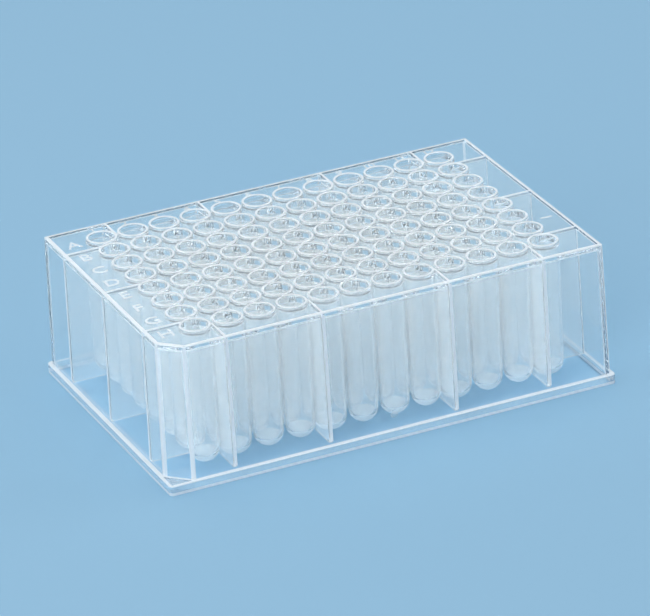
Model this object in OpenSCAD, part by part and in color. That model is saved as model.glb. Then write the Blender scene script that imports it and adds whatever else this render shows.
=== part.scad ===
// Deep-well plate: 96 round wells with round bottoms, moulded in one piece.
//
// Frame: millimetres, +Z up. The origin is the centre of the base, on the
// surface that the plate stands on. Columns run along +X and rows along -Y,
// so the first well of the first row is the one at -X and +Y, and the
// notched corner, by the last row of the first column, is at -X and -Y.

/* [Footprint] */
// Length of the base flange, along the columns' direction
base_l = 127.76; // [120:0.01:140]
// Width of the base flange
base_w = 85.48; // [80:0.01:100]
// Height of the base flange
flange_h = 2.8; // [2.4:0.1:8]
// Radius on the flange's four upright corners
flange_corner_r = 1.2; // [0.5:0.1:3]
// Width of the step between the flange and the foot of the skirt
ledge_w = 1.1; // [0.6:0.1:1.6]

/* [Skirt and deck] */
// Height of the deck's top face above the base
deck_z = 40; // [30:0.5:50]
// Thickness of the deck
deck_t = 1.5; // [1:0.1:3]
// Thickness of the skirt's walls
skirt_t = 1; // [0.7:0.05:1.3]
// Draft of the skirt's walls, in degrees from upright
skirt_draft = 0.9; // [0.3:0.1:1.5]
// Length that the notch takes off each side of the marked corner, at the deck
notch = 5.6; // [2:0.1:9]
// Diameter of the gate mark in the middle of the front wall
gate_d = 2.2; // [1:0.1:4]
// Height of the gate mark's centre above the base
gate_z = 7; // [6:0.5:20]
// Height that the gate mark stands proud of the wall
gate_h = 0.25; // [0.1:0.05:0.5]

/* [Stacking] */
// Depth by which a plate sinks into the flange of the one above it
nest_depth = 2; // [1:0.1:2.3]
// Clearance round a nested plate, on each side
nest_clearance = 0.2; // [0.1:0.05:0.3]

/* [Wells] */
// Number of rows
row_count = 8; // [4:1:8]
// Number of columns
column_count = 12; // [6:1:12]
// Distance between the centres of neighbouring wells
pitch = 9; // [8.6:0.05:9.4]
// Diameter of a well at its mouth
mouth_d = 7; // [5.5:0.1:7.2]
// Amount that a well narrows by, in diameter, from its mouth to its round bottom
well_taper = 0.2; // [0:0.05:0.6]
// Wall of the tube round each well
tube_wall = 0.65; // [0.5:0.05:0.7]
// Thickness of a tube's wall at its lowest point
floor_t = 0.9; // [0.6:0.1:2]
// Height of a tube's lowest point above the base
tube_foot_z = 2.2; // [1:0.1:8]
// Height of the rim of a tube above the deck
rim_h = 0.7; // [0.4:0.1:1.5]
// Bevel on both edges of the rim
rim_bevel = 0.15; // [0.05:0.05:0.2]

/* [Webs] */
// Depth that a web runs into the wall of the tube on each side of it
web_bite = 0.05; // [0.03:0.01:0.2]
// Clearance between the webs and the rims of a plate nested below
web_clearance = 0.3; // [0.1:0.1:1]

/* [Hidden] */

$fn = 48;
overshoot = 1;                          // how far a cut runs past the face it opens

skirt_h = deck_z - flange_h;
deck_l = base_l - 2 * ledge_w - 2 * skirt_h * tan(skirt_draft);
deck_w = base_w - 2 * ledge_w - 2 * skirt_h * tan(skirt_draft);
notch_reach = (deck_l / 2 + deck_w / 2 - notch) / sqrt(2);

column_x = [for (c = [0 : column_count - 1]) (c - (column_count - 1) / 2) * pitch];
row_y = [for (r = [0 : row_count - 1]) ((row_count - 1) / 2 - r) * pitch];

rim_z = deck_z + rim_h;
mouth_r = mouth_d / 2;
bottom_r = mouth_r - well_taper / 2;
tube_top_r = mouth_r + tube_wall;
tube_bottom_r = bottom_r + tube_wall;
tube_round_z = tube_foot_z + tube_bottom_r;
well_round_z = tube_foot_z + floor_t + bottom_r;

web_t = pitch - 2 * tube_bottom_r + 2 * web_bite;
web_foot_z = nest_depth + rim_h + web_clearance;
// Each web stands in the gap before the row or column of this number, from 0
web_columns = [
    1, round(column_count / 3), column_count - round(column_count / 3), column_count - 1
];
web_rows = [1, round(row_count / 2), row_count - 1];

// Distance from the middle to a drafted face at height z, for a face that
// stands at half from the middle where it meets the deck's top
function leaning(half, z) = half + (deck_z - z) * tan(skirt_draft);

// A slab across the whole plate from z0 to z1, with a drafted face towards +X.
// The face towards -X is the same where two_sided is true, and out of the way
// where it is false.
module drafted_slab(half, z0, z1, two_sided) {
    reach = base_l + base_w;
    back_0 = two_sided ? leaning(half, z0) : reach;
    back_1 = two_sided ? leaning(half, z1) : reach;
    rotate([90, 0, 0])
        linear_extrude(2 * reach, center = true)
            polygon([
                [-back_0, z0], [leaning(half, z0), z0],
                [leaning(half, z1), z1], [-back_1, z1]
            ]);
}

// The skirt's outer form, with every side and the notched corner moved in by
// inset, from z0 to z1
module drafted_block(inset, z0, z1) {
    intersection() {
        drafted_slab(deck_l / 2 - inset, z0, z1, true);
        rotate([0, 0, 90])
            drafted_slab(deck_w / 2 - inset, z0, z1, true);
        rotate([0, 0, 225])
            drafted_slab(notch_reach - inset, z0, z1, false);
    }
}

// The deck's outline, grown by grow on every side
module deck_outline(grow) {
    half_l = deck_l / 2 + grow;
    half_w = deck_w / 2 + grow;
    cut = half_l + half_w - (notch_reach + grow) * sqrt(2);
    polygon([
        [cut - half_l, -half_w], [half_l, -half_w],
        [half_l, half_w], [-half_l, half_w], [-half_l, cut - half_w]
    ]);
}

// A rectangle with round corners
module rounded_rectangle(l, w, r) {
    square([l - 2 * r, w], center = true);
    square([l, w - 2 * r], center = true);
    for (x = [-1, 1], y = [-1, 1])
        translate([x * (l / 2 - r), y * (w / 2 - r)])
            circle(r);
}

module flange() {
    linear_extrude(flange_h)
        rounded_rectangle(base_l, base_w, flange_corner_r);
}

// Space inside the skirt, below the deck
module cavity() {
    drafted_block(skirt_t, -overshoot, deck_z - deck_t);
}

// Step inside the flange that the deck of the plate below fits into
module nest() {
    translate([0, 0, -overshoot])
        linear_extrude(nest_depth + overshoot)
            deck_outline(nest_clearance);
}

// Low round mark that the mould's gate leaves on the front wall. It starts in
// the middle of the wall.
module gate_mark() {
    translate([0, skirt_t / 2 - leaning(deck_w / 2, gate_z), gate_z])
        rotate([90, 0, 0])
            cylinder(h = skirt_t / 2 + gate_h, d = gate_d);
}

// Flange, skirt and deck as one shell, before the wells are opened
module shell() {
    difference() {
        union() {
            flange();
            drafted_block(0, 0, deck_z);
        }
        cavity();
        nest();
    }
    gate_mark();
}

// A body of revolution with a round foot: the lower half of a sphere at
// round_z, then the sides, a list of [radius, height] that starts with the
// sphere's own radius and is closed to the axis at its last height
module round_footed(round_z, sides) {
    foot_r = sides[0][0];
    last = sides[len(sides) - 1];
    rotate_extrude() {
        intersection() {
            translate([0, round_z])
                circle(foot_r);
            translate([0, round_z - foot_r])
                square([foot_r, 2 * foot_r]);
        }
        polygon(concat([[0, round_z]], sides, [[0, last[1]]]));
    }
}

// One tube with its rim, before its well is opened
module tube() {
    round_footed(tube_round_z, [
        [tube_bottom_r, tube_round_z],
        [tube_top_r, deck_z],
        [tube_top_r, rim_z - rim_bevel],
        [tube_top_r - rim_bevel, rim_z]
    ]);
}

// The space inside one tube, with a bevelled mouth that the cut runs past
module well() {
    round_footed(well_round_z, [
        [bottom_r, well_round_z],
        [mouth_r, rim_z - rim_bevel],
        [mouth_r + 2 * rim_bevel, rim_z + rim_bevel]
    ]);
}

module at_wells() {
    for (x = column_x, y = row_y)
        translate([x, y, 0])
            children();
}

// A plain upright web of the skirt's inner height, from the line of the outer
// tubes' centres out to the skirt, towards +X
module web(from, to) {
    translate([from, -web_t / 2, web_foot_z])
        cube([to - from, web_t, deck_z - web_foot_z - deck_t / 2]);
}

// Webs between the outer tubes and the skirt, each in a gap between two tubes.
// They run into the middle of the skirt's wall and of the deck.
module webs() {
    intersection() {
        union() {
            for (gap = web_rows, side = [0, 180])
                translate([0, row_y[gap] + pitch / 2, 0])
                    rotate([0, 0, side])
                        web(column_x[column_count - 1], base_l / 2);
            for (gap = web_columns, side = [90, 270])
                translate([column_x[gap] - pitch / 2, 0, 0])
                    rotate([0, 0, side])
                        web(row_y[0], base_w / 2);
        }
        drafted_block(skirt_t / 2, 0, deck_z);
    }
}

module plate() {
    color([0.80, 0.88, 0.93, 0.45])
        difference() {
            union() {
                shell();
                webs();
                at_wells() tube();
            }
            at_wells() well();
        }
}

plate();
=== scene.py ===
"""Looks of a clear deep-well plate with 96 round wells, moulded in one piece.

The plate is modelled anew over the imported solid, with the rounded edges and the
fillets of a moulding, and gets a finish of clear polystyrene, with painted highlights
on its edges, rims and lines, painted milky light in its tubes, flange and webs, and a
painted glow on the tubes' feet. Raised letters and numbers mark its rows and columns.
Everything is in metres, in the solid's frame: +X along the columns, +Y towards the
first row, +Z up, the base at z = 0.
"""

import logging
import math
from collections.abc import Callable, Iterator
from contextlib import contextmanager
from dataclasses import dataclass, field
from enum import Enum

import bmesh
import bpy
from mathutils import Matrix, Vector


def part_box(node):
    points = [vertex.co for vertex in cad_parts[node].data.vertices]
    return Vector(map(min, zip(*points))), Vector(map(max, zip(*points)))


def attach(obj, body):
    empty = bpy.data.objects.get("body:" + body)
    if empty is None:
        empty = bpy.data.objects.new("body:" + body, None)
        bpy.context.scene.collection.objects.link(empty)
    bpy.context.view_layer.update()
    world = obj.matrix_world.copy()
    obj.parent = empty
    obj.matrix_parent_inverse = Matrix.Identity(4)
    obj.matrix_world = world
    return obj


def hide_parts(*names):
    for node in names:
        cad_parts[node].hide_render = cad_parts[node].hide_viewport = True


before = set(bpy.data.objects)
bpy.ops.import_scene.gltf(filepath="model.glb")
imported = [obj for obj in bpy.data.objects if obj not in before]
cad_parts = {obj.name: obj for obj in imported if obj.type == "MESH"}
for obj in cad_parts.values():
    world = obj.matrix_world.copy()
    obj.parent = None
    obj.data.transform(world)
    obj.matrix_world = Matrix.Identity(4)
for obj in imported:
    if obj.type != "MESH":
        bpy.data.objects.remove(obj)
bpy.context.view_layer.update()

MM = 0.001
UPRIGHT = 0.5
LEVEL = 0.99
log = logging.getLogger("well_plate")


class Join(Enum):
    """How one solid is combined with another."""

    ADD = "UNION"
    CUT = "DIFFERENCE"


class Finish(Enum):
    """Material slots of the moulding, in order."""

    SHELL = 0
    # TUBES: more haze than the clear plastic, painting milky light.
    TUBES = 1
    # EDGES: a near-white haze painting highlights on edges, rims and raised lines.
    EDGES = 2
    # FEET: a white haze and a sheen painting a glow on the tubes' feet.
    FEET = 3


# ---------------------------------------------------------------- modelling


def deselect_all() -> None:
    """Leaves no object selected."""
    bpy.ops.object.select_all(action="DESELECT")


def make_active(piece: bpy.types.Object) -> None:
    """Selects one object alone and makes it the active one."""
    deselect_all()
    piece.select_set(True)
    bpy.context.view_layer.objects.active = piece


@contextmanager
def editing(piece: bpy.types.Object) -> Iterator[bmesh.types.BMesh]:
    """Opens a mesh in edit mode with nothing selected.

    Args:
        piece: The mesh object to edit.

    Yields:
        The mesh under edit, for selecting faces and edges by their place.
    """
    make_active(piece)
    bpy.ops.object.mode_set(mode="EDIT")
    bpy.ops.mesh.select_mode(type="VERT")
    bpy.ops.mesh.select_all(action="DESELECT")
    yield bmesh.from_edit_mesh(piece.data)
    bpy.ops.object.mode_set(mode="OBJECT")


def select_faces(mesh: bmesh.types.BMesh, piece: bpy.types.Object,
                 wanted: Callable[[bmesh.types.BMFace], bool]) -> None:
    """Selects the faces that pass a test, in face mode, and no others."""
    bpy.ops.mesh.select_mode(type="FACE")
    for face in mesh.faces:
        face.select_set(wanted(face))
    bmesh.update_edit_mesh(piece.data)


def select_edges(mesh: bmesh.types.BMesh, piece: bpy.types.Object,
                 wanted: Callable[[bmesh.types.BMEdge], bool]) -> None:
    """Selects the edges that pass a test, in edge mode, and no others."""
    bpy.ops.mesh.select_mode(type="EDGE")
    for edge in mesh.edges:
        edge.select_set(wanted(edge))
    bmesh.update_edit_mesh(piece.data)


def is_upright(edge: bmesh.types.BMEdge) -> bool:
    """Tells whether an edge stands up rather than lies level."""
    return abs((edge.verts[1].co - edge.verts[0].co).normalized().z) > UPRIGHT


def edge_height(edge: bmesh.types.BMEdge) -> float:
    """Height of an edge's middle."""
    return (edge.verts[0].co.z + edge.verts[1].co.z) / 2


def faces_up(face: bmesh.types.BMFace | bpy.types.MeshPolygon) -> bool:
    """Tells whether a face is level and looks up."""
    return face.normal.z > LEVEL


def faces_down(face: bmesh.types.BMFace | bpy.types.MeshPolygon) -> bool:
    """Tells whether a face looks down rather than sideways."""
    return face.normal.z < -UPRIGHT


def settle(piece: bpy.types.Object) -> None:
    """Applies an object's place, turn and scale, so that it stays at the origin."""
    make_active(piece)
    bpy.ops.object.transform_apply(location=True, rotation=True, scale=True)


def apply_modifier(piece: bpy.types.Object, modifier: bpy.types.Modifier) -> None:
    """Applies one modifier to its object's mesh."""
    make_active(piece)
    bpy.ops.object.modifier_apply(modifier=modifier.name)


def combine(body: bpy.types.Object, tool: bpy.types.Object, how: Join) -> None:
    """Adds a tool to a body, or cuts it out, and removes the tool.

    Args:
        body: The object that is changed.
        tool: The object that is added or cut out.
        how: Whether it is added or cut out.
    """
    modifier = body.modifiers.new("combine", "BOOLEAN")
    modifier.operation = how.value
    modifier.solver = "MANIFOLD"
    modifier.material_mode = "INDEX"
    modifier.object = tool
    apply_modifier(body, modifier)
    bpy.data.objects.remove(tool)


def repeat(piece: bpy.types.Object, count: int, step: tuple[float, float, float]) -> None:
    """Repeats a mesh in a row.

    Args:
        piece: The mesh object that is repeated within itself.
        count: How many copies there are in all.
        step: The way from one copy to the next.
    """
    modifier = piece.modifiers.new("repeat", "ARRAY")
    modifier.count = count
    modifier.use_relative_offset = False
    modifier.use_constant_offset = True
    modifier.constant_offset_displace = step
    apply_modifier(piece, modifier)


def paint(piece: bpy.types.Object, finish: Finish,
          wanted: Callable[[bpy.types.MeshPolygon], bool]) -> None:
    """Gives the faces that pass a test another of the moulding's finishes."""
    for face in piece.data.polygons:
        if wanted(face):
            face.material_index = finish.value


def box_piece(name: str, low: Vector, high: Vector) -> bpy.types.Object:
    """Adds a box between two corners."""
    deselect_all()
    bpy.ops.mesh.primitive_cube_add(size=1, location=(low + high) / 2, scale=high - low)
    piece = bpy.context.object
    piece.name = name
    settle(piece)
    return piece


def turned_piece(name: str, rings: list[tuple[float, float]], sides: int) -> bpy.types.Object:
    """Builds a closed body of revolution about Z by drawing one ring out of the last.

    Args:
        name: The object's name.
        rings: Radius and height of each ring, from the lowest up. Both ends are closed.
        sides: How many sides a ring has.

    Returns:
        The new object.
    """
    deselect_all()
    radius, height = rings[0]
    bpy.ops.mesh.primitive_circle_add(
        vertices=sides, radius=radius, fill_type="TRIFAN", location=(0, 0, height))
    piece = bpy.context.object
    piece.name = name
    settle(piece)
    with editing(piece) as mesh:
        select_edges(mesh, piece, lambda edge: edge.is_boundary)
        for next_radius, next_height in rings[1:]:
            bpy.ops.mesh.extrude_region_move(
                TRANSFORM_OT_translate={"value": (0, 0, next_height - height)})
            scale = next_radius / radius
            bpy.ops.transform.resize(
                value=(scale, scale, 1), center_override=(0, 0, next_height))
            radius, height = next_radius, next_height
        bpy.ops.mesh.edge_face_add()
        bpy.ops.mesh.select_all(action="SELECT")
        bpy.ops.mesh.normals_make_consistent(inside=False)
    return piece


def fillet_points(centre: tuple[float, float], radius: float, start: float, end: float,
                  steps: int) -> list[tuple[float, float]]:
    """Points of an arc in a profile.

    Args:
        centre: The arc's centre, as radius and height.
        radius: The arc's own radius.
        start: Angle of the first point, in degrees from the outward direction.
        end: Angle of the last point.
        steps: How many equal steps lie between them.

    Returns:
        The points, ends included, as radius and height.
    """
    angles = [math.radians(start + (end - start) * i / steps) for i in range(steps + 1)]
    return [(centre[0] + radius * math.cos(a), centre[1] + radius * math.sin(a)) for a in angles]


# ---------------------------------------------------------------- finishes


class NodeWriter:
    """Places and links shader nodes in one node tree."""

    def __init__(self, tree: bpy.types.NodeTree) -> None:
        """Starts on an empty tree."""
        self.tree = tree
        self.column = 0
        tree.nodes.clear()

    def add(self, kind: str, **settings: object) -> bpy.types.Node:
        """Adds a node and sets its properties.

        Args:
            kind: The node's type, such as ShaderNodeTexNoise.
            settings: Properties of the node, by name.

        Returns:
            The new node.
        """
        node = self.tree.nodes.new(kind)
        node.location = (220 * self.column, 0)
        self.column += 1
        for name, value in settings.items():
            setattr(node, name, value)
        return node

    def link(self, source: bpy.types.NodeSocket, target: bpy.types.NodeSocket) -> None:
        """Joins an output to an input."""
        self.tree.links.new(source, target)

    def seen_ray(self) -> bpy.types.NodeSocket:
        """Adds a test that is 1 for what the camera sees, in mirrors and glass too."""
        path = self.add("ShaderNodeLightPath")
        seen = path.outputs["Is Camera Ray"]
        for kind in ("Is Glossy Ray", "Is Transmission Ray"):
            either = self.add("ShaderNodeMath", operation="MAXIMUM")
            self.link(seen, either.inputs[0])
            self.link(path.outputs[kind], either.inputs[1])
            seen = either.outputs["Value"]
        return seen


def flow_marks_group() -> bpy.types.NodeTree:
    """Builds the shared effect of a mould's flow: faint ripples and uneven gloss.

    Returns:
        A node group with inputs for place, ripple size, gloss size and the two
        limits of roughness, and outputs for height and roughness.
    """
    tree = bpy.data.node_groups.new("flow_marks", "ShaderNodeTree")
    writer = NodeWriter(tree)
    place = tree.interface.new_socket("Place", in_out="INPUT", socket_type="NodeSocketVector")
    place.hide_value = True
    for name in ("Ripple Scale", "Gloss Scale", "Low Roughness", "High Roughness"):
        tree.interface.new_socket(name, in_out="INPUT", socket_type="NodeSocketFloat")
    for name in ("Height", "Roughness"):
        tree.interface.new_socket(name, in_out="OUTPUT", socket_type="NodeSocketFloat")
    inputs = writer.add("NodeGroupInput")
    ripple = writer.add("ShaderNodeTexNoise")
    ripple.inputs["Detail"].default_value = 2.0
    ripple.inputs["Distortion"].default_value = 0.6
    gloss = writer.add("ShaderNodeTexNoise")
    gloss.inputs["Detail"].default_value = 4.0
    spread = writer.add("ShaderNodeMapRange")
    spread.inputs["From Min"].default_value = 0.35
    spread.inputs["From Max"].default_value = 0.7
    outputs = writer.add("NodeGroupOutput")
    writer.link(inputs.outputs["Place"], ripple.inputs["Vector"])
    writer.link(inputs.outputs["Place"], gloss.inputs["Vector"])
    writer.link(inputs.outputs["Ripple Scale"], ripple.inputs["Scale"])
    writer.link(inputs.outputs["Gloss Scale"], gloss.inputs["Scale"])
    writer.link(gloss.outputs["Fac"], spread.inputs["Value"])
    writer.link(inputs.outputs["Low Roughness"], spread.inputs["To Min"])
    writer.link(inputs.outputs["High Roughness"], spread.inputs["To Max"])
    writer.link(ripple.outputs["Fac"], outputs.inputs["Height"])
    writer.link(spread.outputs["Result"], outputs.inputs["Roughness"])
    return tree


@dataclass(frozen=True)
class ClearPlastic:
    """Clear, unpigmented polystyrene that lamps shine through.

    Attributes:
        name: The material's name.
        tint: Colour that light takes on at each face.
        shade: Share of a lamp's light that each face lets through.
        haze: Share of light that a face scatters instead of passing it on.
        ior: Index of refraction.
        low_roughness: Roughness where the mould was polished best.
        high_roughness: Roughness where it was polished least.
        ripple_depth: Height of the flow ripples, in metres.
        ripple_scale: Ripples to a metre.
        gloss_scale: Patches of uneven polish to a metre.
        painted_sheen: Weight of a painted sheen, soft light where a face is seen edge on.
        painted_sheen_roughness: How widely that light spreads.
    """

    name: str
    tint: tuple[float, float, float] = (0.98, 0.985, 0.985)
    shade: tuple[float, float, float] = (0.76, 0.77, 0.78)
    haze: float = 0.03
    ior: float = 1.58
    low_roughness: float = 0.0
    high_roughness: float = 0.04
    ripple_depth: float = 0.01 * MM
    ripple_scale: float = 70.0
    gloss_scale: float = 30.0
    painted_sheen: float = 0.0
    painted_sheen_roughness: float = 0.35

    def build(self, flow_marks: bpy.types.NodeTree) -> bpy.types.Material:
        """Makes the material.

        Args:
            flow_marks: The shared group of flow ripples and uneven gloss.

        Returns:
            The new material.
        """
        material = bpy.data.materials.new(self.name)
        material.use_nodes = True
        writer = NodeWriter(material.node_tree)
        place = writer.add("ShaderNodeTexCoord")
        marks = writer.add("ShaderNodeGroup", node_tree=flow_marks)
        marks.inputs["Ripple Scale"].default_value = self.ripple_scale
        marks.inputs["Gloss Scale"].default_value = self.gloss_scale
        marks.inputs["Low Roughness"].default_value = self.low_roughness
        marks.inputs["High Roughness"].default_value = self.high_roughness
        bump = writer.add("ShaderNodeBump")
        bump.inputs["Distance"].default_value = self.ripple_depth
        plastic = writer.add("ShaderNodeBsdfPrincipled")
        plastic.inputs["Base Color"].default_value = (*self.tint, 1.0)
        plastic.inputs["IOR"].default_value = self.ior
        plastic.inputs["Transmission Weight"].default_value = 1.0 - self.haze
        # Painted sheen: soft light where a face is seen edge on.
        plastic.inputs["Sheen Weight"].default_value = self.painted_sheen
        plastic.inputs["Sheen Roughness"].default_value = self.painted_sheen_roughness
        light_path = writer.add("ShaderNodeLightPath")
        through = writer.add("ShaderNodeBsdfTransparent")
        through.inputs["Color"].default_value = (*self.shade, 1.0)
        mix = writer.add("ShaderNodeMixShader")
        output = writer.add("ShaderNodeOutputMaterial")
        writer.link(place.outputs["Object"], marks.inputs["Place"])
        writer.link(marks.outputs["Height"], bump.inputs["Height"])
        writer.link(marks.outputs["Roughness"], plastic.inputs["Roughness"])
        writer.link(bump.outputs["Normal"], plastic.inputs["Normal"])
        writer.link(light_path.outputs["Is Shadow Ray"], mix.inputs["Fac"])
        writer.link(plastic.outputs["BSDF"], mix.inputs[1])
        writer.link(through.outputs["BSDF"], mix.inputs[2])
        writer.link(mix.outputs["Shader"], output.inputs["Surface"])
        return material


MOULDING_FINISHES = (
    ClearPlastic("clear_plastic_finish", shade=(0.92, 0.92, 0.92)),
    # More haze than the plastic has: painted milky light on the tubes' walls, the flange, the webs
    # and the gate mark.
    ClearPlastic(
        "painted_milky_light_finish", tint=(0.985, 0.98, 0.968), shade=(0.82, 0.82, 0.83), haze=0.24,
        low_roughness=0.03, high_roughness=0.12),
    # Near-white haze: painted highlights on rounded edges, rims, the ledge and raised lines.
    ClearPlastic(
        "painted_highlight_finish", tint=(0.98, 0.98, 0.98), shade=(0.95, 0.95, 0.95), haze=0.8,
        low_roughness=0.1, high_roughness=0.2),
    # White haze and a sheen: a painted glow on the tubes' round feet.
    ClearPlastic(
        "painted_foot_glow_finish", tint=(0.99, 0.99, 0.98), shade=(0.95, 0.95, 0.95), haze=0.55,
        low_roughness=0.05, high_roughness=0.15, painted_sheen=1.0),
)
LETTERING_FINISH = ClearPlastic(
    "lettering_finish", shade=(0.95, 0.95, 0.95), haze=0.48, low_roughness=0.15,
    high_roughness=0.3)


# ---------------------------------------------------------------- the plate


@dataclass
class Moulding:
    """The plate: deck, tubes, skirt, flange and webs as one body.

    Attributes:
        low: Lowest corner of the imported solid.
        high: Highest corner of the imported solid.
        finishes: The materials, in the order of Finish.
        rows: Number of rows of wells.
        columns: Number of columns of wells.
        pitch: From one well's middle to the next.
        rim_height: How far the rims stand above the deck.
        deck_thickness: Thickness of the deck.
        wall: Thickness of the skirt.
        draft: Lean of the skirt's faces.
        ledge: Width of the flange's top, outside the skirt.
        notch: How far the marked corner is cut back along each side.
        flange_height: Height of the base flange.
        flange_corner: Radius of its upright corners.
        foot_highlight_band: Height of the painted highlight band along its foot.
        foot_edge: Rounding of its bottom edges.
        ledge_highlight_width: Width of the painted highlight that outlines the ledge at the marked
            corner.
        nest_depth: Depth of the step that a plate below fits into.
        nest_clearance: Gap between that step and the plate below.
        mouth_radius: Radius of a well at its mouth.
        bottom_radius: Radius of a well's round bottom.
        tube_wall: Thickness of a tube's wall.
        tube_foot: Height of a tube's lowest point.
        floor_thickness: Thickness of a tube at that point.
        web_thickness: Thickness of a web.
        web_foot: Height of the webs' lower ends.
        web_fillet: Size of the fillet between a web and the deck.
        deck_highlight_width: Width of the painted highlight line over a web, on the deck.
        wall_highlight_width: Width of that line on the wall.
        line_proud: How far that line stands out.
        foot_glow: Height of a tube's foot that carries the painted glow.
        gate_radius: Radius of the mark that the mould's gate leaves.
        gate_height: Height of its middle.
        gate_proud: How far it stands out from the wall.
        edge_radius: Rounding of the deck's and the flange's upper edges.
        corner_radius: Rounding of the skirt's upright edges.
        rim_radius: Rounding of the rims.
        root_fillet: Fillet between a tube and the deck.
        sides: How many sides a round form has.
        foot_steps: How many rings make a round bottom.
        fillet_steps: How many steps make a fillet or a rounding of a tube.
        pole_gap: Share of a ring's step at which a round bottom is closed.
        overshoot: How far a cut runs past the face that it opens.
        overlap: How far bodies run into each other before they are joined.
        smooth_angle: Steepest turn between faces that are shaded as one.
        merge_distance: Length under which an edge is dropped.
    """

    low: Vector
    high: Vector
    finishes: list[bpy.types.Material] = field(default_factory=list)
    rows: int = 8
    columns: int = 12
    pitch: float = 9.0 * MM
    rim_height: float = 0.7 * MM
    deck_thickness: float = 1.5 * MM
    wall: float = 1.0 * MM
    draft: float = math.radians(0.9)
    ledge: float = 1.1 * MM
    notch: float = 5.6 * MM
    flange_height: float = 2.8 * MM
    flange_corner: float = 1.2 * MM
    foot_highlight_band: float = 0.85 * MM
    foot_edge: float = 0.12 * MM
    ledge_highlight_width: float = 0.7 * MM
    nest_depth: float = 2.0 * MM
    nest_clearance: float = 0.2 * MM
    mouth_radius: float = 3.5 * MM
    bottom_radius: float = 3.4 * MM
    tube_wall: float = 0.65 * MM
    tube_foot: float = 2.2 * MM
    floor_thickness: float = 0.9 * MM
    web_thickness: float = 1.0 * MM
    web_foot: float = 3.0 * MM
    web_fillet: float = 0.3 * MM
    deck_highlight_width: float = 0.6 * MM
    wall_highlight_width: float = 0.9 * MM
    line_proud: float = 0.02 * MM
    foot_glow: float = 2.7 * MM
    gate_radius: float = 1.1 * MM
    gate_height: float = 7.0 * MM
    gate_proud: float = 0.25 * MM
    edge_radius: float = 0.3 * MM
    corner_radius: float = 0.5 * MM
    rim_radius: float = 0.15 * MM
    root_fillet: float = 0.2 * MM
    sides: int = 32
    foot_steps: int = 5
    fillet_steps: int = 2
    pole_gap: float = 0.4
    overshoot: float = 1.0 * MM
    overlap: float = 0.02 * MM
    smooth_angle: float = math.radians(38)
    merge_distance: float = 0.0005 * MM

    @property
    def rim_z(self) -> float:
        """Height of the rims."""
        return self.high.z

    @property
    def deck_z(self) -> float:
        """Height of the deck's top face."""
        return self.high.z - self.rim_height

    @property
    def deck_half(self) -> Vector:
        """Half the deck's length and width, at its top face."""
        lean = self.ledge + (self.deck_z - self.flange_height) * math.tan(self.draft)
        return Vector((self.high.x - lean, self.high.y - lean, 0))

    @property
    def notch_reach(self) -> float:
        """Distance from the middle to the notch's face, at the deck's top."""
        return (self.deck_half.x + self.deck_half.y - self.notch) / math.sqrt(2)

    def well_x(self, column: int) -> float:
        """Place of a column, counted from 0."""
        return (column - (self.columns - 1) / 2) * self.pitch

    def well_y(self, row: int) -> float:
        """Place of a row, counted from 0."""
        return ((self.rows - 1) / 2 - row) * self.pitch

    def spread(self, z: float) -> float:
        """How much further out a drafted face stands at height z than at the deck's top."""
        return (self.deck_z - z) * math.tan(self.draft)

    def cut_notch(self, piece: bpy.types.Object, inset: float, drafted: bool) -> None:
        """Cuts the marked corner off a block.

        Args:
            piece: The block.
            inset: How far the cut face lies inside the skirt's own.
            drafted: Whether the face leans out as it goes down.
        """
        outward = Vector((-1, -1, 0)).normalized()
        point = outward * (self.notch_reach - inset) + Vector((0, 0, self.deck_z))
        lean = math.tan(self.draft) if drafted else 0.0
        with editing(piece):
            bpy.ops.mesh.select_all(action="SELECT")
            bpy.ops.mesh.bisect(
                plane_co=point, plane_no=outward + Vector((0, 0, lean)),
                use_fill=True, clear_outer=True)

    def drafted_block(self, name: str, inset: float, z0: float, z1: float) -> bpy.types.Object:
        """Builds the skirt's form, or one inside it.

        Args:
            name: The object's name.
            inset: How far the sides lie inside the skirt's outer ones.
            z0: Height of the underside.
            z1: Height of the top.

        Returns:
            The block.
        """
        half = self.deck_half
        foot = half + Vector((1, 1, 0)) * (self.spread(z0) - inset)
        top = half + Vector((1, 1, 0)) * (self.spread(z1) - inset)
        piece = self.dressed(
            box_piece(name, Vector((-foot.x, -foot.y, z0)), Vector((foot.x, foot.y, z1))),
            Finish.SHELL)
        with editing(piece) as mesh:
            select_faces(mesh, piece, faces_up)
            bpy.ops.transform.resize(
                value=(top.x / foot.x, top.y / foot.y, 1), center_override=(0, 0, z1))
        self.cut_notch(piece, inset, drafted=True)
        # The rounded upright corners and top edges carry painted highlights.
        with editing(piece) as mesh:
            select_edges(mesh, piece, is_upright)
            bpy.ops.mesh.bevel(offset=self.corner_radius, segments=4, profile=0.5,
                               affect="EDGES", material=Finish.EDGES.value)
        with editing(piece) as mesh:
            select_edges(mesh, piece, lambda e: edge_height(e) > z1 - self.edge_radius / 2)
            bpy.ops.mesh.bevel(offset=self.edge_radius, segments=3, profile=0.5,
                               affect="EDGES", material=Finish.EDGES.value)
        return piece

    def paint_wall_highlights(self, piece: bpy.types.Object) -> None:
        """Paints a highlight line on the deck along the top of the skirt's walls."""
        half = self.deck_half
        for outward, reach in (((1, 0), half.x), ((-1, 0), half.x), ((0, 1), half.y),
                               ((0, -1), half.y), ((-1, -1), self.notch_reach)):
            outward = Vector((*outward, 0)).normalized()
            with editing(piece) as mesh:
                select_faces(mesh, piece, faces_up)
                bpy.ops.mesh.bisect(plane_co=outward * (reach - self.wall), plane_no=outward)
        # The lines round the deck have less area than this, and its middle has far more.
        narrow = 4 * self.pitch ** 2
        # The narrow faces get the painted highlight finish.
        paint(piece, Finish.EDGES, lambda face: faces_up(face) and face.area < narrow)

    def dressed(self, piece: bpy.types.Object, finish: Finish) -> bpy.types.Object:
        """Gives a body every finish of the moulding, and puts one on all its faces."""
        for material in self.finishes:
            piece.data.materials.append(material)
        paint(piece, finish, lambda face: True)
        return piece

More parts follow.
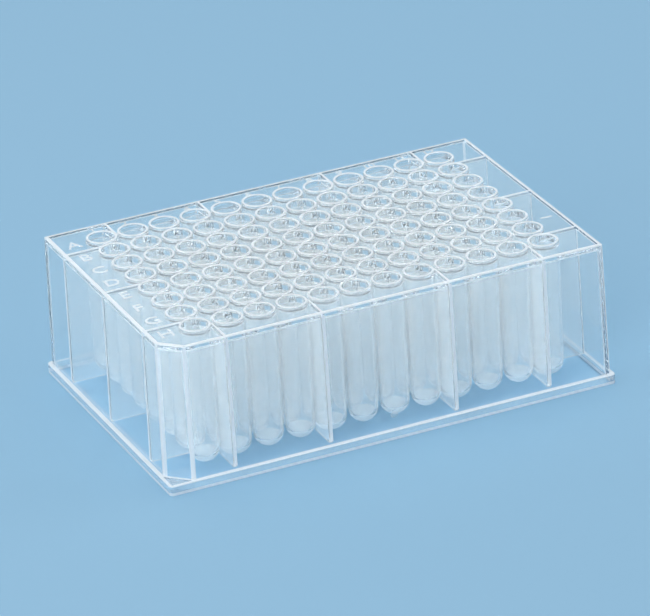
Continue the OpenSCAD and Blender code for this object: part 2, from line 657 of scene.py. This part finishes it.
    def flange(self) -> bpy.types.Object:
        """Builds the base flange with round corners and edges, with painted milky light on its
        sides and painted highlights on its ledge, its rounded level edges and a band along its
        foot.
        """
        piece = self.dressed(box_piece(
            "flange", Vector((self.low.x, self.low.y, 0)),
            Vector((self.high.x, self.high.y, self.flange_height))), Finish.TUBES)
        with editing(piece) as mesh:
            select_edges(mesh, piece, is_upright)
            bpy.ops.mesh.bevel(offset=self.flange_corner, segments=6, profile=0.5, affect="EDGES")
        with editing(piece) as mesh:
            for upper, radius in ((True, self.edge_radius), (False, self.foot_edge)):
                select_edges(mesh, piece, lambda e: self.is_rim_edge(e)
                             and (edge_height(e) > self.foot_highlight_band) == upper)
                bpy.ops.mesh.bevel(offset=radius, segments=3, profile=0.5, affect="EDGES",
                                   material=Finish.EDGES.value)
        with editing(piece):
            bpy.ops.mesh.select_all(action="SELECT")
            bpy.ops.mesh.bisect(plane_co=(0, 0, self.foot_highlight_band), plane_no=(0, 0, 1))
        # Painted highlights on the ledge and on a band along the foot.
        paint(piece, Finish.EDGES,
              lambda face: faces_up(face) or face.center.z < self.foot_highlight_band)
        self.clear_ledge(piece)
        return piece

    def clear_ledge(self, piece: bpy.types.Object) -> None:
        """Puts painted milky light in place of the painted highlight on the ledge at the marked
        corner, all but an outline along its edges.
        """
        marked = Vector((-1, -1, 0)).normalized()
        sides = (
            (Vector((-1, 0, 0)), -self.low.x - self.ledge_highlight_width),
            (Vector((0, -1, 0)), -self.low.y - self.ledge_highlight_width),
            (-marked, -self.notch_reach - self.spread(self.flange_height) - self.ledge_highlight_width))
        for outward, reach in sides:
            with editing(piece) as mesh:
                select_faces(mesh, piece, faces_up)
                bpy.ops.mesh.bisect(plane_co=outward * reach, plane_no=outward)
        paint(piece, Finish.TUBES, lambda face: faces_up(face) and all(
            outward.dot(face.center) < reach for outward, reach in sides))

    def is_rim_edge(self, edge: bmesh.types.BMEdge) -> bool:
        """Tells whether a level edge lies between a level face and an upright one."""
        levels = {abs(face.normal.z) > UPRIGHT for face in edge.link_faces}
        return len(levels) == 2 and not is_upright(edge)

    def nest(self) -> bpy.types.Object:
        """Builds the step inside the flange that a plate below fits into."""
        half = self.deck_half + Vector((1, 1, 0)) * self.nest_clearance
        piece = self.dressed(box_piece(
            "nest", Vector((-half.x, -half.y, -self.overshoot)),
            Vector((half.x, half.y, self.nest_depth))), Finish.SHELL)
        self.cut_notch(piece, -self.nest_clearance, drafted=False)
        return piece

    def foot_rings(self, radius: float, foot_z: float) -> list[tuple[float, float]]:
        """Rings of a round bottom, from just above its lowest point to its equator."""
        start = -90 + 90 / self.foot_steps * self.pole_gap
        return fillet_points((0, foot_z + radius), radius, start, 0, self.foot_steps)

    def tubes(self) -> bpy.types.Object:
        """Builds the 96 tubes, with their rims and the fillets at the deck."""
        radius = self.bottom_radius + self.tube_wall
        top = self.mouth_radius + self.tube_wall
        under = self.deck_z - self.deck_thickness
        fillet = self.root_fillet
        rings = self.foot_rings(radius, self.tube_foot)
        steps = self.fillet_steps
        rings += fillet_points((top + fillet, under - fillet), fillet, 180, 90, steps)
        rings[-1] = (top + fillet, under + self.overlap)
        rings += [(top, under + self.deck_thickness / 2)]
        low_fillet = fillet_points((top + fillet, self.deck_z + fillet), fillet, 270, 180, steps)
        low_fillet[0] = (top + fillet, self.deck_z - self.overlap)
        rings += low_fillet
        rings += fillet_points((top - self.rim_radius, self.rim_z - self.rim_radius),
                               self.rim_radius, 0, 90, steps)
        return self.over_wells(self.tube_dressed(
            turned_piece("tubes", rings, self.sides), Finish.TUBES, Finish.FEET))

    def wells(self) -> bpy.types.Object:
        """Builds the spaces inside the tubes, with their rounded mouths."""
        foot_z = self.tube_foot + self.floor_thickness
        rings = self.foot_rings(self.bottom_radius, foot_z)
        mouth = fillet_points((self.mouth_radius + self.rim_radius, self.rim_z - self.rim_radius),
                              self.rim_radius, 180, 90, self.fillet_steps)
        mouth[-1] = (mouth[-1][0], self.rim_z + self.overlap)
        rings += mouth
        return self.over_wells(self.tube_dressed(
            turned_piece("wells", rings, self.sides), Finish.SHELL, Finish.SHELL))

    def tube_dressed(self, piece: bpy.types.Object, wall: Finish, foot: Finish) -> bpy.types.Object:
        """Gives a tube, or the space in it, its finishes.

        Args:
            piece: The tube, or the space in it.
            wall: Finish of its wall.
            foot: Finish of its round foot.

        Returns:
            The same object.
        """
        self.dressed(piece, wall)
        foot_top = self.tube_foot + self.foot_glow
        rim = self.rim_z - self.rim_radius
        # The tubes' feet take the painted glow; the wells keep the clear finish.
        paint(piece, foot, lambda face: face.center.z < foot_top)
        # Painted highlight on the rims.
        paint(piece, Finish.EDGES, lambda face: face.center.z > rim)
        return piece

    def over_wells(self, piece: bpy.types.Object) -> bpy.types.Object:
        """Moves a body from the middle to the first well and repeats it over all of them."""
        piece.location = (self.well_x(0), self.well_y(0), 0)
        settle(piece)
        repeat(piece, self.columns, (self.pitch, 0, 0))
        repeat(piece, self.rows, (0, -self.pitch, 0))
        return piece

    def rib(self, name: str, start: Vector, end: Vector, width: float,
            heights: tuple[float, float]) -> bpy.types.Object:
        """Builds an upright rib whose outer end leans with the skirt's wall.

        Args:
            name: The object's name.
            start: The rib's inner end, on its middle plane.
            end: Its outer end at the height of the deck's top.
            width: Its thickness.
            heights: Where it starts and ends, from the base.

        Returns:
            The rib.
        """
        along = (end - start).normalized()
        half = Vector((abs(along.y), abs(along.x), 0)) * width / 2
        corners = [Vector(map(min, start, end)), Vector(map(max, start, end))]
        piece = box_piece(name, corners[0] - half + Vector((0, 0, heights[0])),
                          corners[1] + half + Vector((0, 0, heights[1])))
        for z in heights:
            with editing(piece) as mesh:
                select_edges(mesh, piece, lambda e: (
                    not is_upright(e) and abs(edge_height(e) - z) < self.overlap
                    and all((vertex.co - end).dot(along) > -self.overlap for vertex in e.verts)))
                bpy.ops.transform.translate(value=along * self.spread(z))
        return piece

    def web(self, start: Vector, end: Vector) -> list[bpy.types.Object]:
        """Builds one web, from a gap between tubes to the skirt.

        Args:
            start: The web's inner end, on its middle plane.
            end: The skirt's outer face there, at the height of the deck's top.

        Returns:
            The web, its fillet at the deck and the lines over it on the deck and
            on the wall; the fillet and the lines carry painted highlights.
        """
        under = self.deck_z - self.deck_thickness
        along = (end - start).normalized()
        inside = end - along * self.wall / 2
        plate = self.dressed(self.rib(
            "web", start, inside, self.web_thickness,
            (self.web_foot, under + self.deck_thickness / 2)), Finish.TUBES)
        # Painted highlight on the web's lower end.
        paint(plate, Finish.EDGES, faces_down)
        # The fillet carries a painted highlight on both sides of the web.
        fillet = self.dressed(self.rib(
            "web_fillet", start, inside, self.web_thickness + 2 * self.web_fillet,
            (under - self.web_fillet, under + self.overlap)), Finish.EDGES)
        narrow = self.web_thickness / (self.web_thickness + 2 * self.web_fillet)
        with editing(fillet) as mesh:
            select_faces(mesh, fillet, faces_down)
            bpy.ops.transform.resize(
                value=(1, narrow, 1) if along.x else (narrow, 1, 1),
                center_override=(start + end) / 2)
        # Raised strips over the web carry painted highlight lines on the deck and the wall.
        deck_highlight_strip = self.dressed(self.rib(
            "deck_highlight_strip", start, end - along * self.wall, self.deck_highlight_width,
            (under + self.deck_thickness / 2, self.deck_z + self.line_proud)), Finish.EDGES)
        wall_highlight_strip = self.dressed(self.rib(
            "wall_highlight_strip", inside, end + along * self.line_proud, self.wall_highlight_width,
            (self.web_foot + self.deck_highlight_width, self.deck_z - 2 * self.edge_radius)), Finish.EDGES)
        return [plate, fillet, deck_highlight_strip, wall_highlight_strip]

    def webs(self) -> list[bpy.types.Object]:
        """Builds the webs that run from the gaps between the outer tubes to the skirt."""
        inner_x, inner_y = self.well_x(self.columns - 1), self.well_y(0)
        outer = self.deck_half
        third = self.columns // 3
        rows = [self.well_y(row) + self.pitch / 2 for row in (1, self.rows // 2, self.rows - 1)]
        columns = [self.well_x(column) - self.pitch / 2
                   for column in (1, third, self.columns - third, self.columns - 1)]
        webs = []
        for side in (-1, 1):
            for y in rows:
                webs += self.web(Vector((side * inner_x, y, 0)), Vector((side * outer.x, y, 0)))
            for x in columns:
                webs += self.web(Vector((x, side * inner_y, 0)), Vector((x, side * outer.y, 0)))
        return webs

    def gate_mark(self) -> bpy.types.Object:
        """Builds the low round mark in the middle of the front wall."""
        face = -self.deck_half.y - self.spread(self.gate_height)
        piece = turned_piece(
            "gate_mark", [
                (self.gate_radius, -self.wall / 2), (self.gate_radius, self.gate_proud / 2),
                (self.gate_radius - self.gate_proud / 2, self.gate_proud)], self.sides)
        piece.rotation_euler = (math.pi / 2, 0, 0)
        piece.location = (0, face, self.gate_height)
        settle(self.dressed(piece, Finish.TUBES))
        return piece

    def build(self) -> bpy.types.Object:
        """Builds the whole moulding.

        Returns:
            The plate as one closed mesh.
        """
        body = self.drafted_block("moulding", 0, 0, self.deck_z)
        self.paint_wall_highlights(body)
        combine(body, self.flange(), Join.ADD)
        combine(body, self.drafted_block(
            "cavity", self.wall, -self.overshoot, self.deck_z - self.deck_thickness), Join.CUT)
        combine(body, self.nest(), Join.CUT)
        combine(body, self.gate_mark(), Join.ADD)
        for web in self.webs():
            combine(body, web, Join.ADD)
        combine(body, self.tubes(), Join.ADD)
        combine(body, self.wells(), Join.CUT)
        with editing(body):
            bpy.ops.mesh.select_all(action="SELECT")
            bpy.ops.mesh.dissolve_degenerate(threshold=self.merge_distance)
        make_active(body)
        bpy.ops.object.shade_smooth_by_angle(angle=self.smooth_angle)
        even = body.modifiers.new("even_shading", "WEIGHTED_NORMAL")
        even.keep_sharp = True
        even.weight = 100
        apply_modifier(body, even)
        return body


@dataclass
class Lettering:
    """Raised letters and numbers on the deck's margins.

    Attributes:
        plate: The moulding that they stand on.
        letter_height: Height of the rows' letters.
        number_height: Height of the columns' numbers.
        relief: How far they stand above the deck.
        sunk: How far they reach into it.
        letter_x: Middle of the letters, along X.
        number_y: Middle of the numbers, along Y.
        dash_x: Middle of the dash in the right margin, along X.
        dash_row: The row above it, counted from 0.
        dash_length: Length of that dash.
        stroke: Its width.
        cap_share: Height of a capital, as a share of the font's size.
        width_share: How much wider than the font a letter is.
        merge_distance: Distance at which points of an outline are merged.
    """

    plate: Moulding
    letter_height: float = 4.1 * MM
    number_height: float = 2.6 * MM
    relief: float = 0.14 * MM
    sunk: float = 0.03 * MM
    letter_x: float = -57.5 * MM
    number_y: float = 37.5 * MM
    dash_x: float = 57.2 * MM
    dash_row: int = 5
    dash_length: float = 3.2 * MM
    stroke: float = 0.45 * MM
    cap_share: float = 0.729
    width_share: float = 1.08
    merge_distance: float = 0.001 * MM

    def word(self, name: str, text: str, height: float, x: float, y: float) -> bpy.types.Object:
        """Builds one raised letter or number, centred on a point.

        Args:
            name: The object's name.
            text: What it says.
            height: Height of a capital.
            x: Middle along X.
            y: Middle along Y.

        Returns:
            The letter as a mesh.
        """
        deselect_all()
        bpy.ops.object.text_add()
        piece = bpy.context.object
        piece.name = name
        piece.data.body = text
        piece.data.size = height / self.cap_share
        piece.data.extrude = (self.relief + self.sunk) / 2
        piece.data.resolution_u = 4
        make_active(piece)
        bpy.ops.object.convert(target="MESH")
        piece = bpy.context.object
        corners = [Vector(corner) for corner in piece.bound_box]
        middle = sum(corners, Vector()) / len(corners)
        lift = self.plate.deck_z + (self.relief - self.sunk) / 2
        piece.scale = (self.width_share, 1, 1)
        piece.location = (x - middle.x * self.width_share, y - middle.y, lift)
        settle(piece)
        with editing(piece):
            bpy.ops.mesh.select_all(action="SELECT")
            bpy.ops.mesh.remove_doubles(threshold=self.merge_distance)
            bpy.ops.mesh.dissolve_degenerate(threshold=self.merge_distance)
            bpy.ops.mesh.normals_make_consistent(inside=False)
        return piece

    def build(self) -> dict[str, bpy.types.Object]:
        """Builds every letter and number, joined into one piece for the rows and one
        for the columns, and the dash in the right margin.

        Returns:
            The pieces by name.
        """
        letters = [
            self.word("letter", "ABCDEFGH"[row], self.letter_height, self.letter_x,
                      self.plate.well_y(row)) for row in range(self.plate.rows)]
        numbers = [
            self.word("number", str(column + 1), self.number_height, self.plate.well_x(column),
                      self.number_y) for column in range(self.plate.columns)]
        rows = (self.dash_row, self.dash_row + 1)
        dash_y = sum(self.plate.well_y(row) for row in rows) / 2
        half = Vector((self.dash_length, self.stroke, 0)) / 2
        dash = box_piece(
            "margin_dash",
            Vector((self.dash_x, dash_y, self.plate.deck_z - self.sunk)) - half,
            Vector((self.dash_x, dash_y, self.plate.deck_z + self.relief)) + half)
        return {
            "row_letters": self.joined("row_letters", letters),
            "column_numbers": self.joined("column_numbers", numbers),
            "margin_dash": dash,
        }

    def joined(self, name: str, pieces: list[bpy.types.Object]) -> bpy.types.Object:
        """Joins several meshes into one piece."""
        deselect_all()
        for piece in pieces:
            piece.select_set(True)
        bpy.context.view_layer.objects.active = pieces[0]
        bpy.ops.object.join()
        pieces[0].name = name
        return pieces[0]


# ---------------------------------------------------------------- the studio


@dataclass(frozen=True)
class Lamp:
    """A soft box: a large flat lamp that faces the plate.

    Attributes:
        name: The lamp's name.
        place: Where it hangs.
        size: Its width and height.
        power: In watts.
        mirrored: Whether the plate's gloss shows it.
    """

    name: str
    place: tuple[float, float, float]
    size: tuple[float, float]
    power: float
    mirrored: bool = True

    def build(self, target: Vector) -> None:
        """Adds the lamp, turned towards a point."""
        data = bpy.data.lights.new(self.name, "AREA")
        data.shape = "RECTANGLE"
        data.size, data.size_y = self.size
        data.energy = self.power
        lamp = bpy.data.objects.new(self.name, data)
        bpy.context.scene.collection.objects.link(lamp)
        lamp.location = self.place
        lamp.rotation_euler = (target - Vector(self.place)).to_track_quat("-Z", "Y").to_euler()
        lamp.visible_glossy = self.mirrored


@dataclass(frozen=True)
class Studio:
    """Floor, lamps and camera.

    Attributes:
        azimuth: Direction of the camera about Z, in degrees from -Y, towards +X.
        elevation: Height of the camera's line of sight, in degrees.
        roll: Turn of the camera about that line, in degrees.
        distance: From the camera to the plate's middle.
        lens: Focal length, in millimetres.
        sensor: Width of the camera's sensor, in millimetres.
        floor_size: Length of the floor's sides.
        floor_colour: Colour of the floor and of the backdrop behind it.
        floor_roughness: Roughness of the floor's paint.
        floor_gloss: How much it reflects.
        world_colour: Colour of the light from all round.
        world_strength: Strength of that light.
        ceiling_colour: Colour of the backdrop overhead.
        ceiling_from: Rise of the line of sight at which the ceiling starts to show.
        ceiling_to: Rise at which it alone shows.
        fade_from: Distance from the plate at which the floor starts to fade.
        fade_to: Distance at which it has faded to the backdrop.
        lamps: The soft boxes.
    """

    azimuth: float = -22.9
    elevation: float = 25.1
    roll: float = -3.6
    distance: float = 1.375
    lens: float = 288.0
    sensor: float = 36.0
    floor_size: float = 12.0
    floor_colour: tuple[float, float, float] = (0.30, 0.50, 0.66)
    floor_roughness: float = 0.8
    floor_gloss: float = 0.2
    world_colour: tuple[float, float, float] = (0.80, 0.88, 0.95)
    world_strength: float = 0.68
    ceiling_colour: tuple[float, float, float] = (1.0, 1.0, 1.0)
    ceiling_from: float = 0.92
    ceiling_to: float = 1.0
    fade_from: float = 0.4
    fade_to: float = 1.1
    lamps: tuple[Lamp, ...] = (
        Lamp("top_box", (-0.1, 0.25, 1.1), (1.1, 0.8), 4.2, mirrored=False),
        Lamp("front_left_box", (-1.1, -0.7, 0.7), (0.8, 0.8), 5.6),
        Lamp("right_box", (1.2, -0.2, 0.6), (0.5, 0.9), 2.0),
    )

    def camera(self, target: Vector) -> None:
        """Adds the camera, aimed at a point."""
        azimuth, elevation = math.radians(self.azimuth), math.radians(self.elevation)
        back = Vector((
            math.cos(elevation) * math.sin(azimuth),
            -math.cos(elevation) * math.cos(azimuth),
            math.sin(elevation)))
        data = bpy.data.cameras.new("camera")
        data.sensor_width = self.sensor
        data.lens = self.lens
        data.clip_end = 2 * self.floor_size
        camera = bpy.data.objects.new("camera", data)
        bpy.context.scene.collection.objects.link(camera)
        turn = back.to_track_quat("Z", "Y").to_matrix() @ Matrix.Rotation(
            math.radians(self.roll), 3, "Z")
        camera.matrix_world = Matrix.Translation(target + back * self.distance) @ turn.to_4x4()
        bpy.context.scene.camera = camera

    def floor(self) -> bpy.types.Object:
        """Adds the floor."""
        deselect_all()
        bpy.ops.mesh.primitive_plane_add(size=self.floor_size, location=(0, 0, 0))
        floor = bpy.context.object
        floor.name = "floor"
        floor.data.materials.append(self.floor_paint())
        return floor

    def floor_paint(self) -> bpy.types.Material:
        """Makes a matte paint, which far away takes the backdrop's plain colour."""
        material = bpy.data.materials.new("floor_paint")
        material.use_nodes = True
        writer = NodeWriter(material.node_tree)
        surface = writer.add("ShaderNodeBsdfPrincipled")
        surface.inputs["Base Color"].default_value = (*self.floor_colour, 1.0)
        surface.inputs["Roughness"].default_value = self.floor_roughness
        surface.inputs["Specular IOR Level"].default_value = self.floor_gloss
        backdrop = writer.add("ShaderNodeEmission")
        backdrop.inputs["Color"].default_value = (*self.floor_colour, 1.0)
        place = writer.add("ShaderNodeTexCoord")
        distance = writer.add("ShaderNodeVectorMath", operation="LENGTH")
        fade = writer.add("ShaderNodeMapRange", interpolation_type="SMOOTHSTEP")
        fade.inputs["From Min"].default_value = self.fade_from
        fade.inputs["From Max"].default_value = self.fade_to
        share = writer.add("ShaderNodeMath", operation="MULTIPLY")
        mix = writer.add("ShaderNodeMixShader")
        output = writer.add("ShaderNodeOutputMaterial")
        writer.link(place.outputs["Object"], distance.inputs[0])
        writer.link(distance.outputs["Value"], fade.inputs["Value"])
        writer.link(fade.outputs["Result"], share.inputs[0])
        writer.link(writer.seen_ray(), share.inputs[1])
        writer.link(share.outputs["Value"], mix.inputs["Fac"])
        writer.link(surface.outputs["BSDF"], mix.inputs[1])
        writer.link(backdrop.outputs["Emission"], mix.inputs[2])
        writer.link(mix.outputs["Shader"], output.inputs["Surface"])
        return material

    def world(self) -> None:
        """Sets the light that comes from all round."""
        world = bpy.data.worlds.new("studio")
        world.use_nodes = True
        writer = NodeWriter(world.node_tree)
        light = writer.add("ShaderNodeBackground")
        light.inputs["Color"].default_value = (*self.world_colour, 1.0)
        light.inputs["Strength"].default_value = self.world_strength
        direction = writer.add("ShaderNodeTexCoord")
        height = writer.add("ShaderNodeSeparateXYZ")
        rise = writer.add("ShaderNodeMapRange", interpolation_type="SMOOTHSTEP")
        rise.inputs["From Min"].default_value = self.ceiling_from
        rise.inputs["From Max"].default_value = self.ceiling_to
        sweep = writer.add("ShaderNodeMix", data_type="RGBA")
        sweep.inputs["A"].default_value = (*self.floor_colour, 1.0)
        sweep.inputs["B"].default_value = (*self.ceiling_colour, 1.0)
        backdrop = writer.add("ShaderNodeBackground")
        writer.link(direction.outputs["Generated"], height.inputs["Vector"])
        writer.link(height.outputs["Z"], rise.inputs["Value"])
        writer.link(rise.outputs["Result"], sweep.inputs["Factor"])
        writer.link(sweep.outputs["Result"], backdrop.inputs["Color"])
        mix = writer.add("ShaderNodeMixShader")
        output = writer.add("ShaderNodeOutputWorld")
        writer.link(writer.seen_ray(), mix.inputs["Fac"])
        writer.link(light.outputs["Background"], mix.inputs[1])
        writer.link(backdrop.outputs["Background"], mix.inputs[2])
        writer.link(mix.outputs["Shader"], output.inputs["Surface"])
        bpy.context.scene.world = world

    def build(self, target: Vector) -> bpy.types.Object:
        """Adds everything round the plate.

        Args:
            target: The plate's middle.

        Returns:
            The floor.
        """
        self.camera(target)
        self.world()
        for lamp in self.lamps:
            lamp.build(target)
        scene = bpy.context.scene
        scene.view_settings.view_transform = "Standard"
        scene.cycles.blur_glossy = 0.0
        scene.cycles.max_bounces = 256
        scene.cycles.glossy_bounces = 256
        scene.cycles.transmission_bounces = 128
        scene.cycles.transparent_max_bounces = 128
        scene.cycles.diffuse_bounces = 8
        return self.floor()


# ---------------------------------------------------------------- assembly


def main() -> None:
    """Builds the plate, its lettering and the studio."""
    logging.basicConfig(level=logging.INFO, format="%(name)s: %(message)s")
    low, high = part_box("plate")
    middle = (low + high) / 2
    Studio().build(middle)
    log.info("studio: floor, lamps and camera")

    flow_marks = flow_marks_group()
    moulding = Moulding(low, high, [finish.build(flow_marks) for finish in MOULDING_FINISHES])
    plate = moulding.build()
    plate.name = "plate_moulding"
    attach(plate, "root")
    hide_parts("plate")
    log.info("plate_moulding: %d faces", len(plate.data.polygons))

    raised = LETTERING_FINISH.build(flow_marks)
    for name, piece in Lettering(moulding).build().items():
        piece.data.materials.clear()
        piece.data.materials.append(raised)
        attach(piece, "root")
        log.info("%s: %d faces", name, len(piece.data.polygons))


if __name__ == "__main__":
    main()
